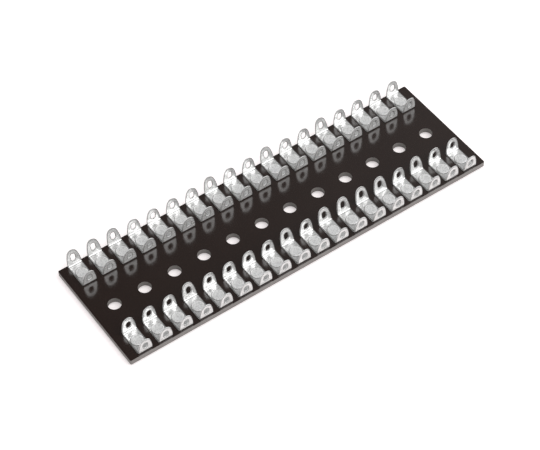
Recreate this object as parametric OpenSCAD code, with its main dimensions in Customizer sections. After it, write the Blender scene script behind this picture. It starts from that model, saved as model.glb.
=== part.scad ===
// Component tag board: two rows of folded solder tags riveted to a laminate board,
// with a line of wiring and mounting holes down the middle.
// Millimetres. X runs along the rows, Y across the board, and Z = 0 is the
// board's underside. The origin is midway between the two middle holes.

/* [Board] */
// Thickness of the laminate
board_t = 2.4; // [1.2:0.1:4]
// Radius of the board's four corners
corner_r = 0.6; // [0.2:0.1:2]
// Clear width of the component bay between the two rows of tags
bay_w = 29.4; // [16:0.1:60]
// Board beyond the outer faces of the tags, along each long edge
edge_margin = 0.6; // [0.2:0.1:6]
// Board beyond the side of the last tag, at each end
end_margin = 4.3; // [1:0.1:20]

/* [Middle holes] */
// Diameter of the wiring and mounting holes
hole_d = 5.7; // [3:0.1:10]
// Distance from one hole to the next
hole_pitch = 14.2875; // [11:0.0005:30]
// Least distance from a hole's centre to the board's end
hole_margin = 9; // [6:0.5:12]

/* [Rows] */
// Number of tags in each row
tags_per_row = 18; // [2:1:28]
// Distance from one tag to the next
tag_pitch = 9.525; // [8:0.005:16]

/* [Tag] */
// Thickness of the tinned sheet
tag_t = 0.5; // [0.3:0.05:0.8]
// Width of the tag's base
tag_w = 6.4; // [5.8:0.1:7.4]
// Length of the tag over the outer faces of its upright ears
tag_l = 12.4; // [11:0.1:20]
// Inside radius of the two folds
bend_r = 0.6; // [0.4:0.05:1.2]
// Height of an ear's tip above the board
ear_h = 7.7; // [7:0.1:12]
// Radius of an ear's tip
ear_tip_r = 2.5; // [1.6:0.1:2.8]
// Outward lean of an ear, in degrees
ear_lean = 4; // [0:1:8]
// Outward lean of an ear that has sprung further open, in degrees
sprung_lean = 15; // [9:1:18]

/* [Solder eye] */
// Width of the eye
eye_w = 2.1; // [1.2:0.1:2.6]
// Height of the eye
eye_h = 3.4; // [2.7:0.1:3.9]
// Distance from an ear's tip down to the middle of the eye
eye_drop = 3.7; // [3:0.1:4.4]

/* [Rivet] */
// Diameter of the shank
rivet_d = 2.5; // [1.6:0.1:3.2]
// Clearance between the shank and the holes round it
rivet_play = 0.05; // [0.02:0.01:0.1]
// Diameter of the head
head_d = 5.2; // [4.4:0.1:5.6]
// Height of the head
head_h = 0.45; // [0.3:0.05:1.2]
// Radius of the head's rounded rim
head_rim_r = 0.25; // [0.05:0.05:0.4]
// Diameter of the tail rolled over under the board
tail_d = 4.4; // [4:0.1:5.2]
// Height of the rolled tail
tail_h = 0.8; // [0.5:0.05:1.2]
// Diameter of the hollow in the tail
tail_bore_d = 1.3; // [0.6:0.1:1.4]
// Depth of the hollow in the tail
tail_bore_depth = 2; // [1:0.1:2.5]

/* [Hidden] */
$fn = 96;
// how far a cutting shape runs past the face that it cuts
past = 1;

// tags counted from the left end whose ear on the side away from the front edge has sprung open
sprung_in_front = [4, 9, 11, 12, 13, 14, 16];
sprung_in_back = [1, 2, 3, 8, 11, 14];

row_l = (tags_per_row - 1) * tag_pitch;
board_l = row_l + tag_w + 2 * end_margin;
board_w = bay_w + 2 * (tag_l + edge_margin);
// from the board's centre line to the middle of a row
row_y = (bay_w + tag_l) / 2;
// half the flat stretch of a tag's base, up to where each fold starts
flat_half = tag_l / 2 - tag_t - bend_r;
hole_count = floor((board_l - 2 * hole_margin) / hole_pitch) + 1;

front_names = [for (i = [1 : tags_per_row]) tag_name("front", i)];
back_names = [for (i = [1 : tags_per_row]) tag_name("back", i)];

laminate = [0.17, 0.14, 0.14];
tinned = [0.86, 0.86, 0.84];
rivet_metal = [0.78, 0.78, 0.76];

function tag_name(row, i) = str(row, "_tag_", i < 10 ? "0" : "", i);
function tag_x(i) = (i - 1) * tag_pitch - row_l / 2;
function hole_x(j) = (j - 1 - (hole_count - 1) / 2) * hole_pitch;
function lean_of(i, sprung) = len(search(i, sprung)) > 0 ? sprung_lean : ear_lean;

// The blank is the same length whatever the fold, so an ear that is folded less
// has that much more of its length beyond the fold.
function ear_run(lean) = ear_h - tag_t - bend_r + (bend_r + tag_t / 2) * lean * PI / 180;

// Places its children at every rivet: one under each tag of the row at height z
module at_rivets(y, z) {
    for (i = [1 : tags_per_row])
        translate([tag_x(i), y, z]) children();
}

module board_outline() {
    inner = [board_l - 2 * corner_r, board_w - 2 * corner_r];
    square([board_l, inner.y], center = true);
    square([inner.x, board_w], center = true);
    for (x = [-1, 1], y = [-1, 1])
        translate([x * inner.x / 2, y * inner.y / 2]) circle(corner_r);
}

module board() {
    color(laminate)
    difference() {
        linear_extrude(board_t) board_outline();
        for (j = [1 : hole_count])
            translate([hole_x(j), 0, -past]) cylinder(d = hole_d, h = board_t + 2 * past);
        for (y = [-row_y, row_y])
            at_rivets(y, -past)
                cylinder(d = rivet_d + 2 * rivet_play, h = board_t + 2 * past);
    }
}

// An ear's outline from the fold upwards: two long side arcs that start square to
// the fold, and a tip arc that both of them run into without a corner.
module ear_outline(run) {
    half = tag_w / 2;
    tip_y = run - ear_tip_r;
    side_r = (half ^ 2 - ear_tip_r ^ 2 + tip_y ^ 2) / (2 * (half - ear_tip_r));
    meet_y = side_r * tip_y / (side_r - ear_tip_r);
    intersection() {
        translate([-half, 0]) square([tag_w, meet_y]);
        translate([half - side_r, 0]) circle(side_r);
        translate([side_r - half, 0]) circle(side_r);
    }
    translate([0, tip_y]) circle(ear_tip_r);
}

module eye() {
    straight = eye_h - eye_w;
    square([eye_w, straight], center = true);
    for (y = [-1, 1])
        translate([0, y * straight / 2]) circle(d = eye_w);
}

// The fold and the ear at the +Y end of a tag
module ear(lean) {
    run = ear_run(lean);
    translate([0, flat_half, tag_t + bend_r]) {
        rotate([0, 90, 0])
            rotate_extrude(angle = 90 - lean)
                translate([bend_r, -tag_w / 2]) square([tag_t, tag_w]);
        rotate([-lean, 0, 0])
            translate([0, bend_r + tag_t, 0])
                rotate([90, 0, 0])
                    linear_extrude(tag_t)
                        difference() {
                            ear_outline(run);
                            translate([0, run - eye_drop]) eye();
                        }
    }
}

// A tag standing on Z = 0, with one ear at +Y and the other at -Y
module tag(plus_lean, minus_lean) {
    color(tinned)
    difference() {
        union() {
            translate([-tag_w / 2, -flat_half, 0]) cube([tag_w, 2 * flat_half, tag_t]);
            ear(plus_lean);
            rotate(180) ear(minus_lean);
        }
        translate([0, 0, -past]) cylinder(d = rivet_d + 2 * rivet_play, h = tag_t + 2 * past);
    }
}

module front_tag(i) {
    translate([tag_x(i), -row_y, board_t]) tag(lean_of(i, sprung_in_front), ear_lean);
}

module back_tag(i) {
    translate([tag_x(i), row_y, board_t]) tag(lean_of(i, sprung_in_back), ear_lean);
}

// Half of a rivet's section. Z = 0 is the board's underside, where the tail seats.
module rivet_section() {
    grip = board_t + tag_t;
    head_flat = head_d / 2 - head_rim_r;
    tail_flat = (tail_d - tail_h) / 2;
    difference() {
        union() {
            square([rivet_d / 2, grip]);
            // the head, whose rounded rim is cut off where it seats on the tag
            translate([0, grip])
                intersection() {
                    square([head_d / 2, head_h]);
                    union() {
                        square([head_d / 2, head_h - head_rim_r]);
                        square([head_flat, head_h]);
                        translate([head_flat, head_h - head_rim_r]) circle(head_rim_r);
                    }
                }
            translate([0, -tail_h]) square([tail_flat, tail_h]);
            translate([tail_flat, -tail_h / 2]) circle(d = tail_h);
        }
        translate([0, -tail_h]) square([tail_bore_d / 2, tail_bore_depth]);
    }
}

module rivets(y) {
    color(rivet_metal) at_rivets(y, 0) rotate_extrude() rivet_section();
}

board();
for (i = [1 : tags_per_row]) {
    front_tag(i);
    back_tag(i);
}
rivets(-row_y);  // front_rivets
rivets(row_y);  // back_rivets
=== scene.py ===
"""Looks for the component tag board: a dark laminate board, two rows of folded and
tinned solder tags riveted to it, and a line of round holes down its middle."""

import math

import bmesh
import bpy
import numpy as np
from mathutils import Matrix, Vector


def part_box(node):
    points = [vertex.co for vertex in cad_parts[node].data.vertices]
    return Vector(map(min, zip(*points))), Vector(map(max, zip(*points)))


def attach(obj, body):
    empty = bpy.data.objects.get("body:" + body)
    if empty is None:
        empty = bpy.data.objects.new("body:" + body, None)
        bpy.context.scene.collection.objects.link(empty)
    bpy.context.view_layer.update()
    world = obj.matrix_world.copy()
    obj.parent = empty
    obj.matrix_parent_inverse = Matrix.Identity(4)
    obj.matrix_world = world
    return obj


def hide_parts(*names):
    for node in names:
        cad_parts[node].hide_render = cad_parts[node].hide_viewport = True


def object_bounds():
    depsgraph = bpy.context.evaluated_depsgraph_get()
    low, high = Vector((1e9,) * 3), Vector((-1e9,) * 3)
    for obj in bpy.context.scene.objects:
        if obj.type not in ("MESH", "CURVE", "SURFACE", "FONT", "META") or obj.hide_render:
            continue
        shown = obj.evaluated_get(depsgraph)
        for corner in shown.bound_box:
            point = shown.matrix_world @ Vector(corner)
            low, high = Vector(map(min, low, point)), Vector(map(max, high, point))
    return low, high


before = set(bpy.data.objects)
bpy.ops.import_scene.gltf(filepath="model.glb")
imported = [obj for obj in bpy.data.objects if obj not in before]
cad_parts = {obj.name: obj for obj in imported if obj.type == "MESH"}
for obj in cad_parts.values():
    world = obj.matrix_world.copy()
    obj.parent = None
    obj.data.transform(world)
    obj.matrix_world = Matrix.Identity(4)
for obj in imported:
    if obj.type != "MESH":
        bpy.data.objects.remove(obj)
cad_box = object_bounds()

MM = 0.001

# ---------------------------------------------------------------- sizes, in millimetres
BOARD_T = 2.4
TAGS_PER_ROW = 18
TAG_PITCH = 9.525

TAG_T = 0.5            # sheet thickness
TAG_W = 6.4            # width of the base
TAG_L = 12.4           # over the outer faces of the upright ears
BEND_R = 0.6           # inside radius of a fold
EAR_H = 7.7            # from the board to an ear's tip
EAR_TIP_R = 2.5
EYE_W, EYE_H = 2.1, 3.4
EYE_DROP = 3.7         # from the tip down to the middle of the eye
RIVET_D = 2.5
RIVET_PLAY = 0.05
HEAD_D, HEAD_H, HEAD_RIM_R = 5.2, 0.45, 0.25
TAIL_D, TAIL_H = 4.4, 0.8
TAIL_BORE_D, TAIL_BORE_DEPTH = 1.3, 2.0

MID_R = BEND_R + TAG_T / 2                  # fold radius of the sheet's middle layer
FLAT_HALF = TAG_L / 2 - TAG_T - BEND_R      # where the flat base ends and a fold starts

# ---------------------------------------------------------------- camera
CAMERA_FROM = Vector((-272.6, -410.0, 580.3)) * MM
CAMERA_LOOKS_AT = Vector((-4.93, -2.83, BOARD_T)) * MM
CAMERA_ROLL = math.radians(-2.12)
LENS = 122.3


# ---------------------------------------------------------------- meshes
def grid_faces(rows, columns, first=0, closed=False):
    """Quads of a rows x columns grid of points that starts at index first. Point (r, c)
    has index first + r * columns + c. With closed, the last column joins the first."""
    r = np.arange(rows - 1)[:, None]
    c = np.arange(columns if closed else columns - 1)[None, :]
    across = (c + 1) % columns
    quads = np.stack([r * columns + c, r * columns + across,
                      (r + 1) * columns + across, (r + 1) * columns + c], axis=-1)
    return quads.reshape(-1, 4) + first


def build(name, points_mm, faces, weld_mm=0.002, to_edge=None):
    """One object from points in millimetres and rows of face indices. Points that fall
    together are welded, and the faces are turned to point outwards. to_edge, if given,
    is each point's distance from the nearest edge in millimetres, kept as an attribute."""
    mesh = bpy.data.meshes.new(name)
    mesh.from_pydata((np.asarray(points_mm) * MM).tolist(), [], [list(f) for f in faces])
    if to_edge is not None:
        kept = mesh.attributes.new("to_edge", "FLOAT", "POINT")
        kept.data.foreach_set("value", np.asarray(to_edge, dtype=np.float32))
    shaped = bmesh.new()
    shaped.from_mesh(mesh)
    bmesh.ops.remove_doubles(shaped, verts=shaped.verts, dist=weld_mm * MM)
    bmesh.ops.recalc_face_normals(shaped, faces=shaped.faces)
    shaped.to_mesh(mesh)
    shaped.free()
    mesh.shade_smooth()
    piece = bpy.data.objects.new(name, mesh)
    bpy.context.scene.collection.objects.link(piece)
    return piece


def soften_edges(piece, width_mm, angle_deg=40, segments=2):
    """Rounds every edge sharper than the angle, as tumbling and plating round a stamping."""
    bevel = piece.modifiers.new("soft_edges", "BEVEL")
    bevel.width = width_mm * MM
    bevel.segments = segments
    bevel.limit_method = "ANGLE"
    bevel.angle_limit = math.radians(angle_deg)
    bevel.harden_normals = True


# ---------------------------------------------------------------- the folded tag
COLUMNS = 9            # points across the base and the folds
FOLD_ROWS = 9          # points round a fold
RINGS = 7              # rings of points from a hole out to an edge


def ear_run(lean):
    """Straight length of an ear beyond its fold. The blank keeps its length, so an ear
    that is folded by less than a right angle has the rest of that arc added to it."""
    return EAR_H - TAG_T - BEND_R + MID_R * lean


def obround_reach(c, s, radius, half_straight):
    """Distance from an obround's centre to its edge in the direction (c, s): the straight
    sides stand at x = radius, and the round ends are circles half_straight up and down."""
    to_side = radius / np.maximum(np.abs(c), 1e-9)
    rounded = np.sqrt(np.maximum(radius ** 2 - (half_straight * c) ** 2, 0.0))
    to_end = half_straight * np.abs(s) + rounded
    return np.where(to_side * np.abs(s) <= half_straight, to_side, to_end)


def plate_with_hole(outline, centre, radius, half_straight):
    """A flat plate as rings of points: each ring is a blend between the hole's edge and
    the outline, taken along the rays from the hole's centre to the outline's points."""
    ray = outline - centre
    far = np.hypot(ray[:, 0], ray[:, 1])
    near = obround_reach(ray[:, 0] / far, ray[:, 1] / far, radius, half_straight)
    share = ((1 - np.cos(np.linspace(0, math.pi, RINGS))) / 2)[:, None]
    reach = near + (far - near) * share
    return centre + ray[None] * (reach / far)[..., None]


def ear_outline(lean):
    """Anticlockwise outline of an ear from its fold up: the fold line, a long side arc
    that starts square to it, the tip arc, and the other side arc. Both kinds of arc are
    given by the angle of their normal, which is the same where one runs into the other."""
    half, run = TAG_W / 2, ear_run(lean)
    tip_y = run - EAR_TIP_R
    side_r = (half ** 2 - EAR_TIP_R ** 2 + tip_y ** 2) / (2 * (half - EAR_TIP_R))
    meet = math.asin(tip_y / (side_r - EAR_TIP_R))
    side = np.linspace(0, meet, 10)[1:]
    tip = np.linspace(meet, math.pi - meet, 19)[1:]
    other = np.linspace(meet, 0, 10)[1:-1]
    foot = np.stack([np.linspace(-half, half, COLUMNS), np.zeros(COLUMNS)], axis=1)
    right = np.stack([half - side_r + side_r * np.cos(side), side_r * np.sin(side)], axis=1)
    round_tip = np.stack([EAR_TIP_R * np.cos(tip), tip_y + EAR_TIP_R * np.sin(tip)], axis=1)
    left = np.stack([side_r - half - side_r * np.cos(other), side_r * np.sin(other)], axis=1)
    return np.concatenate([foot, right, round_tip, left])


def ear_to_edge(ear, outline):
    """Distance of each of an ear's ring points from the nearest edge: from the outline
    past its foot, measured to the outline's points, or back along the ray from the eye."""
    free = outline[COLUMNS - 1:]
    gap = ear[:, :, None, :] - np.concatenate([free, outline[:1]])[None, None]
    to_outline = np.hypot(gap[..., 0], gap[..., 1]).min(axis=2)
    to_eye = np.hypot(*np.moveaxis(ear - ear[:1], -1, 0))
    return np.minimum(to_outline, to_eye)


def base_outline():
    """Anticlockwise outline of the flat base, with the folds' columns along both ends."""
    half = TAG_W / 2
    x = np.linspace(-half, half, COLUMNS)
    y = np.linspace(-FLAT_HALF, FLAT_HALF, 13)
    ends = np.full(COLUMNS, FLAT_HALF)
    near = np.stack([x, -ends], axis=1)
    right = np.stack([np.full(11, half), y[1:-1]], axis=1)
    far = np.stack([x[::-1], ends], axis=1)
    left = np.stack([np.full(11, -half), y[-2:0:-1]], axis=1)
    return np.concatenate([near, right, far, left])


def fold(x, s, lean):
    """Folds the far half of the flat blank: s runs along its middle layer from the tag's
    centre. Flat up to the fold, then round an arc, then straight on at its last slope."""
    beyond = np.maximum(s - FLAT_HALF, 0.0)
    turn = np.minimum(beyond / MID_R, math.pi / 2 - lean)
    straight = beyond - turn * MID_R
    y = np.minimum(s, FLAT_HALF) + MID_R * np.sin(turn) + straight * np.cos(turn)
    z = TAG_T / 2 + MID_R * (1 - np.cos(turn)) + straight * np.sin(turn)
    return np.stack([x, y, z], axis=-1)


def tag(name, centre_x, centre_y, far_lean, near_lean):
    """A tag's middle layer is five grids: the base round its rivet hole, two folds and
    two ears round their eyes. Each is drawn on the flat blank and then folded."""
    points, to_edge, faces, count = [], [], [], 0

    def add(grid, distance, closed):
        nonlocal count
        rows, columns = grid.shape[:2]
        points.append(grid.reshape(-1, 3))
        to_edge.append(distance.reshape(-1))
        faces.append(grid_faces(rows, columns, count, closed))
        count += rows * columns

    base = plate_with_hole(base_outline(), np.zeros(2), RIVET_D / 2 + RIVET_PLAY, 0.0)
    add(fold(base[..., 0], base[..., 1], 0.0), TAG_W / 2 - np.abs(base[..., 0]), closed=True)
    half_turn = np.array([-1, -1, 1])
    for lean, side in ((far_lean, np.ones(3)), (near_lean, half_turn)):
        arc = MID_R * (math.pi / 2 - lean)
        x, s = np.meshgrid(np.linspace(-TAG_W / 2, TAG_W / 2, COLUMNS),
                           FLAT_HALF + np.linspace(0, arc, FOLD_ROWS))
        add(fold(x, s, lean) * side, TAG_W / 2 - np.abs(x), closed=False)
        eye_middle = np.array([0.0, ear_run(lean) - EYE_DROP])
        outline = ear_outline(lean)
        ear = plate_with_hole(outline, eye_middle, EYE_W / 2, (EYE_H - EYE_W) / 2)
        add(fold(ear[..., 0], FLAT_HALF + arc + ear[..., 1], lean) * side,
            ear_to_edge(ear, outline), closed=True)

    place = np.array([centre_x, centre_y, BOARD_T])
    piece = build(name, np.concatenate(points) + place, np.concatenate(faces),
                  to_edge=np.concatenate(to_edge))
    sheet = piece.modifiers.new("sheet", "SOLIDIFY")
    sheet.thickness = TAG_T * MM
    sheet.offset = 0
    sheet.use_even_offset = True
    sheet.material_offset_rim = 1
    soften_edges(piece, 0.12)
    return piece


def lean_of(node, far):
    """How far an ear of a tag leans outwards, from how far the tag's CAD solid reaches
    beyond the middle of its base. Solved by a few steps of the secant method."""
    low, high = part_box(node)
    reach = (high.y - row_middle(node)) if far else (row_middle(node) - low.y)
    reach /= MM

    def tip_reach(lean):
        turn = math.pi / 2 - lean
        outer = MID_R + TAG_T / 2
        return FLAT_HALF + outer * math.sin(turn) + ear_run(lean) * math.cos(turn)

    a, b = 0.0, 0.2
    for _ in range(8):
        fa, fb = tip_reach(a) - reach, tip_reach(b) - reach
        if abs(fb - fa) < 1e-12:
            break
        a, b = b, b - fb * (b - a) / (fb - fa)
    return b


def row_middle(node):
    """The line of rivets that a tag belongs to."""
    low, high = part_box("front_rivets" if node.startswith("front") else "back_rivets")
    return (low.y + high.y) / 2


# ---------------------------------------------------------------- rivets
ROUND = 40             # points round a rivet


def arc_points(cx, cy, radius, start_deg, stop_deg, count):
    angle = np.radians(np.linspace(start_deg, stop_deg, count))
    return np.stack([cx + radius * np.cos(angle), cy + radius * np.sin(angle)], axis=1)


def rivet_profile():
    """Half section from the top of the head, down the shank and round the rolled tail to
    the bottom of its hollow. The head is dished by a hair where the setting tool struck."""
    grip = BOARD_T + TAG_T
    head_flat = HEAD_D / 2 - HEAD_RIM_R
    tail_flat = (TAIL_D - TAIL_H) / 2
    struck = 0.05
    across = np.linspace(0, 1, 7)[:-1]
    face = np.stack([head_flat * across, grip + HEAD_H - struck * (1 - across ** 2)], axis=1)
    return np.concatenate([
        face,
        arc_points(head_flat, grip + HEAD_H - HEAD_RIM_R, HEAD_RIM_R, 90, 0, 6),
        [[HEAD_D / 2, grip + 0.04], [HEAD_D / 2 - 0.04, grip], [RIVET_D / 2, grip], [RIVET_D / 2, 0]],
        arc_points(tail_flat, -TAIL_H / 2, TAIL_H / 2, 90, -90, 9),
        arc_points(TAIL_BORE_D / 2 + 0.25, -TAIL_H + 0.25, 0.25, -90, -180, 4),
        [[TAIL_BORE_D / 2, TAIL_BORE_DEPTH - TAIL_H], [0, TAIL_BORE_DEPTH - TAIL_H]],
    ])


def rivets(name, centres_x, centre_y):
    """A row of rivets: the profile turned about Z, once for every centre."""
    profile = rivet_profile()
    angle = np.linspace(0, 2 * math.pi, ROUND, endpoint=False)
    turned = np.stack([profile[:, :1] * np.cos(angle), profile[:, :1] * np.sin(angle),
                       np.repeat(profile[:, 1:], ROUND, axis=1)], axis=-1)
    offsets = np.stack([centres_x, np.full(len(centres_x), centre_y),
                        np.zeros(len(centres_x))], axis=1)
    points = turned[None] + offsets[:, None, None, :]
    per_rivet = len(profile) * ROUND
    faces = [grid_faces(len(profile), ROUND, k * per_rivet, closed=True)
             for k in range(len(centres_x))]
    piece = build(name, points.reshape(-1, 3), np.concatenate(faces))
    piece.data.set_sharp_from_angle(angle=math.radians(50))
    return piece


# ---------------------------------------------------------------- shader maths
class Wire:
    """A socket that can be added to, taken from, multiplied and so on. Each operation
    adds one Math node to the material that the socket belongs to."""

    def __init__(self, shop, socket):
        self.shop = shop
        self.socket = socket

    def _math(self, operation, *values):
        return self.shop.node("ShaderNodeMath", {"operation": operation}, dict(enumerate(values)))

    def __add__(self, other): return self._math("ADD", self, other)
    def __radd__(self, other): return self._math("ADD", other, self)
    def __sub__(self, other): return self._math("SUBTRACT", self, other)
    def __rsub__(self, other): return self._math("SUBTRACT", other, self)
    def __mul__(self, other): return self._math("MULTIPLY", self, other)
    def __rmul__(self, other): return self._math("MULTIPLY", other, self)
    def __pow__(self, other): return self._math("POWER", self, other)

    def ramp(self, low, high, to_low=0.0, to_high=1.0):
        """Smooth step from to_low, at or below low, to to_high, at or above high."""
        return self.shop.node("ShaderNodeMapRange", {"interpolation_type": "SMOOTHSTEP"},
                              {0: self, 1: low, 2: high, 3: to_low, 4: to_high})

    def clamped(self):
        return self.shop.node("ShaderNodeClamp", {}, {0: self})

    def magnitude(self): return self._math("ABSOLUTE", self)
    def fraction(self): return self._math("FRACT", self)


class Shop:
    """Where one material's or the world's nodes are made."""

    def __init__(self, owner):
        owner.use_nodes = True
        self.tree = owner.node_tree
        self.tree.nodes.clear()

    def node(self, kind, settings=None, values=None, output=0):
        made = self.tree.nodes.new(kind)
        for key, value in (settings or {}).items():
            setattr(made, key, value)
        for key, value in (values or {}).items():
            if isinstance(value, Wire):
                self.tree.links.new(value.socket, made.inputs[key])
            else:
                made.inputs[key].default_value = value
        return Wire(self, made.outputs[output]) if made.outputs else None

    def place(self):
        """Object coordinates, in millimetres."""
        place = self.node("ShaderNodeTexCoord", output="Object")
        return self.node("ShaderNodeVectorMath", {"operation": "SCALE"}, {0: place, 3: 1 / MM})

    def parts(self, vector):
        split = self.node("ShaderNodeSeparateXYZ", {}, {0: vector})
        outputs = split.socket.node.outputs
        return [Wire(self, outputs[k]) for k in range(3)]

    def noise(self, vector, size_mm, detail=2.0, roughness=0.5, distortion=0.0):
        """Noise from 0 to 1 whose features are about size_mm across."""
        return self.node("ShaderNodeTexNoise", {"noise_dimensions": "3D"},
                         {"Vector": vector, "Scale": 1 / size_mm, "Detail": detail,
                          "Roughness": roughness, "Distortion": distortion})

    def mix_colour(self, factor, first, second):
        """Between two colours, each a wire or a plain colour."""
        made = self.tree.nodes.new("ShaderNodeMix")
        made.data_type = "RGBA"
        for key, value in ((0, factor), (6, first), (7, second)):
            if isinstance(value, Wire):
                self.tree.links.new(value.socket, made.inputs[key])
            else:
                made.inputs[key].default_value = value if key == 0 else (*value, 1)
        return Wire(self, made.outputs[2])

    def stretched(self, vector, x, y, z):
        """The place, squeezed so that a pattern on it is drawn out by x, y and z."""
        return self.node("ShaderNodeVectorMath", {"operation": "MULTIPLY"},
                         {0: vector, 1: (1 / x, 1 / y, 1 / z)})

    def bump(self, height, depth_mm):
        return self.node("ShaderNodeBump", {}, {"Height": height, "Distance": depth_mm * MM,
                                                "Strength": 1.0})

    def finish(self, shader, output="ShaderNodeOutputMaterial"):
        """Leads the shader to the output of the material or, with its name, of the world."""
        self.node(output, {}, {"Surface": shader})


def laminate():
    """Paper laminate: the pressed faces are glossy and nearly black, and the cut edges and
    the holes' walls show the matt, grey-brown layers of paper."""
    material = bpy.data.materials.new("laminate")
    shop = Shop(material)
    place = shop.place()
    normal = shop.node("ShaderNodeNewGeometry", output="Normal")
    upright = shop.parts(normal)[2].magnitude()
    face = upright.ramp(0.6, 0.9)
    cloud = shop.noise(place, 22.0, 3.0)
    fibre = shop.noise(shop.stretched(place, 3.0, 1.0, 1.0), 0.8, 3.0)
    pressed = shop.mix_colour(cloud, (0.0125, 0.0050, 0.0028), (0.0180, 0.0085, 0.0060))
    layers = shop.noise(shop.stretched(place, 9.0, 9.0, 0.16), 1.0, 3.0)
    cut = shop.mix_colour(layers.ramp(0.3, 0.7), (0.165, 0.150, 0.140), (0.262, 0.243, 0.231))
    cut = shop.mix_colour(fibre.ramp(0.35, 0.75), cut, (0.218, 0.203, 0.193))
    colour = shop.mix_colour(face, cut, pressed)
    roughness = face * (0.15 + cloud * 0.06) + (1 - face) * 0.62
    peel = shop.noise(place, 2.6, 1.0)
    height = face * peel * 0.6 + (1 - face) * (fibre + layers) * 4.0
    shader = shop.node("ShaderNodeBsdfPrincipled", {}, {
        "Base Color": colour, "Roughness": roughness, "IOR": 1.80,
        "Normal": shop.bump(height, 0.004)})
    shop.finish(shader)
    return material


def tinned_sheet():
    """Hot-tinned sheet: bright and slightly wavy where the tin has flowed, with fine ripples
    across the tag and a dull mottle. It is worn grey along the edges of the faces, and has
    painted shade round the rivets' heads and along the lines where the folds start."""
    material = bpy.data.materials.new("tinned_sheet")
    shop = Shop(material)
    place = shop.place()
    flow = shop.noise(place, 2.6, 2.0)
    mottle = shop.noise(place, 0.9, 3.0, 0.65)
    ripple = shop.noise(shop.stretched(place, 4.0, 0.55, 0.55), 1.0, 2.0)
    dull = (mottle * 0.5 + ripple * 0.5).ramp(0.42, 0.62)
    colour = shop.mix_colour(dull, (0.98, 0.98, 0.975), (0.68, 0.68, 0.675))
    to_edge = shop.node("ShaderNodeAttribute", {"attribute_name": "to_edge"}, output=2)
    worn = (to_edge + mottle * 0.24).ramp(0.24, 0.52, 1.0, 0.0)
    x, y, _ = shop.parts(place)
    along = ((x * (1 / TAG_PITCH)).fraction() - 0.5) * TAG_PITCH
    across = y.magnitude() - row_middle("back_tag_01") / MM
    from_rivet = (along * along + across * across) ** 0.5
    # Painted shade: a dark ring on the sheet round each rivet head, standing in for the shade that
    # falls at the head's edge.
    painted_rivet_shade = from_rivet.ramp(HEAD_D / 2 + 0.05, HEAD_D / 2 + 0.45, 0.9, 0.0)
    # Painted shade: a dark band across the tag along the line where each fold starts.
    painted_fold_shade = (across.magnitude() - FLAT_HALF).magnitude().ramp(0.05, 0.35, 0.6, 0.0)
    # This grey is real wear along the edges, plus the painted shade round the rivet heads and at the
    # folds.
    colour = shop.mix_colour((worn + painted_rivet_shade + painted_fold_shade).clamped(), colour, (0.20, 0.20, 0.195))
    roughness = 0.13 + dull * 0.14 + flow * 0.06
    height = flow * 1.4 + mottle * 0.6 + ripple * 0.5
    shader = shop.node("ShaderNodeBsdfPrincipled", {}, {
        "Base Color": colour, "Metallic": 0.62, "Roughness": roughness,
        "Normal": shop.bump(height, 0.10)})
    shop.finish(shader)
    return material


def sheared_edge():
    """The sheet's edges, cut by the shear: bright but less of a mirror than the faces, with
    the fine upright lines that the shear leaves."""
    material = bpy.data.materials.new("sheared_edge")
    shop = Shop(material)
    place = shop.place()
    lines = shop.noise(shop.stretched(place, 1.0, 1.0, 6.0), 0.25, 2.0)
    colour = shop.mix_colour(lines.ramp(0.35, 0.65), (0.90, 0.90, 0.895), (0.70, 0.70, 0.695))
    shader = shop.node("ShaderNodeBsdfPrincipled", {}, {
        "Base Color": colour, "Metallic": 0.45, "Roughness": 0.34,
        "Normal": shop.bump(lines, 0.02)})
    shop.finish(shader)
    return material


def rivet_metal():
    """Plated rivet: duller than the tags, with a soft mottle and a slight waviness."""
    material = bpy.data.materials.new("rivet_metal")
    shop = Shop(material)
    place = shop.place()
    mottle = shop.noise(place, 0.7, 3.0, 0.6)
    flow = shop.noise(place, 1.8, 1.0)
    colour = shop.mix_colour(mottle.ramp(0.35, 0.7), (0.98, 0.98, 0.975), (0.68, 0.68, 0.675))
    shader = shop.node("ShaderNodeBsdfPrincipled", {}, {
        "Base Color": colour, "Metallic": 0.35, "Roughness": 0.22 + mottle * 0.16,
        "Normal": shop.bump(flow, 0.06)})
    shop.finish(shader)
    return material


# ---------------------------------------------------------------- the object
def dress():
    sheet, edge, metal, board = tinned_sheet(), sheared_edge(), rivet_metal(), laminate()
    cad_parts["board"].data.materials.clear()
    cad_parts["board"].data.materials.append(board)
    for row in ("front", "back"):
        centres = []
        for number in range(1, TAGS_PER_ROW + 1):
            node = f"{row}_tag_{number:02d}"
            low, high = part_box(node)
            x = (low.x + high.x) / 2 / MM
            centres.append(x)
            piece = tag(f"{row}_solder_tag_{number:02d}", x, row_middle(node) / MM,
                        lean_of(node, far=True), lean_of(node, far=False))
            piece.data.materials.append(sheet)
            piece.data.materials.append(edge)
            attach(piece, "root")
            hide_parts(node)
        node = f"{row}_rivets"
        piece = rivets(f"{row}_set_rivets", np.array(centres), row_middle(node) / MM)
        piece.data.materials.append(metal)
        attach(piece, "root")
        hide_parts(node)


# ---------------------------------------------------------------- the stage
KEY_TOWARDS = Vector((0.33, -0.55, 0.77)).normalized()
KEY_DISTANCE = 1.2
KEY_SIZE = 1.4
KEY_RADIANCE = 1.8
SKY_DIFFUSE = 0.65


def is_seen(shop):
    """1 for a camera, glossy or transmission ray, and 0 for light that falls on the object."""
    path = shop.node("ShaderNodeLightPath").socket.node.outputs
    seen = Wire(shop, path["Is Camera Ray"]) + Wire(shop, path["Is Glossy Ray"])
    return (seen + Wire(shop, path["Is Transmission Ray"])).clamped()


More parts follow.
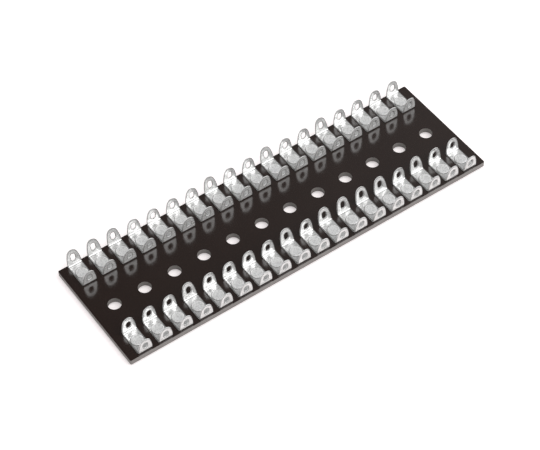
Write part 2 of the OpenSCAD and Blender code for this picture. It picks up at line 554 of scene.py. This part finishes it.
def floor():
    """A pale floor at the rivets' tails. It shows white, and greys a little in shadow."""
    low, high = cad_box
    reach = 6.0
    corners = np.array([(-reach, -reach), (reach, -reach), (reach, reach), (-reach, reach)])
    points = np.concatenate([corners / MM, np.full((4, 1), low[2] / MM)], axis=1)
    piece = build("floor", points, [(0, 1, 2, 3)], weld_mm=0.0001)
    material = bpy.data.materials.new("pale_floor")
    shop = Shop(material)
    path = shop.node("ShaderNodeLightPath").socket.node.outputs
    glow = shop.node("ShaderNodeEmission", {}, {
        "Color": (1, 0.94, 0.94, 1), "Strength": Wire(shop, path["Is Camera Ray"]) * 0.42})
    paint = shop.node("ShaderNodeBsdfDiffuse", {}, {"Color": (0.88, 0.84, 0.84, 1)})
    shop.finish(shop.node("ShaderNodeAddShader", {}, {0: glow, 1: paint}))
    piece.data.materials.append(material)


def sky():
    """Soft white all round with a dim ceiling at the back, which keeps the board's gloss dark.
    As light on the object it is even, and weaker than it looks."""
    world = bpy.data.worlds.new("sky")
    bpy.context.scene.world = world
    shop = Shop(world)
    way = shop.node("ShaderNodeTexCoord", output="Generated")
    x, y, z = shop.parts(way)
    ceiling = y.ramp(-0.15, 0.35) * z.ramp(0.30, 0.55)
    shade = (1 - ceiling) + ceiling * x.ramp(0.15, 0.60, 0.08, 0.30)
    seen = is_seen(shop)
    strength = seen * shade + (1 - seen) * SKY_DIFFUSE
    shine = shop.node("ShaderNodeBackground", {}, {"Color": (1, 1, 1, 1), "Strength": strength})
    shop.finish(shine, "ShaderNodeOutputWorld")


def key_light():
    light = bpy.data.lights.new("key", "AREA")
    light.shape = "DISK"
    light.size = KEY_SIZE
    light.energy = KEY_RADIANCE * math.pi * math.pi * (KEY_SIZE / 2) ** 2
    lamp = bpy.data.objects.new("key", light)
    lamp.location = KEY_TOWARDS * KEY_DISTANCE
    lamp.rotation_euler = KEY_TOWARDS.to_track_quat("Z", "Y").to_euler()
    lamp.visible_camera = False
    bpy.context.scene.collection.objects.link(lamp)


def camera():
    data = bpy.data.cameras.new("camera")
    data.lens = LENS
    data.sensor_width = 36.0
    data.clip_start = 0.01
    eye = bpy.data.objects.new("camera", data)
    look = (CAMERA_LOOKS_AT - CAMERA_FROM).to_track_quat("-Z", "Y").to_matrix()
    eye.matrix_world = (Matrix.Translation(CAMERA_FROM)
                        @ (look @ Matrix.Rotation(CAMERA_ROLL, 3, "Z")).to_4x4())
    bpy.context.scene.collection.objects.link(eye)
    bpy.context.scene.camera = eye


camera()
dress()
floor()
sky()
key_light()
bpy.context.scene.view_settings.view_transform = "Standard"
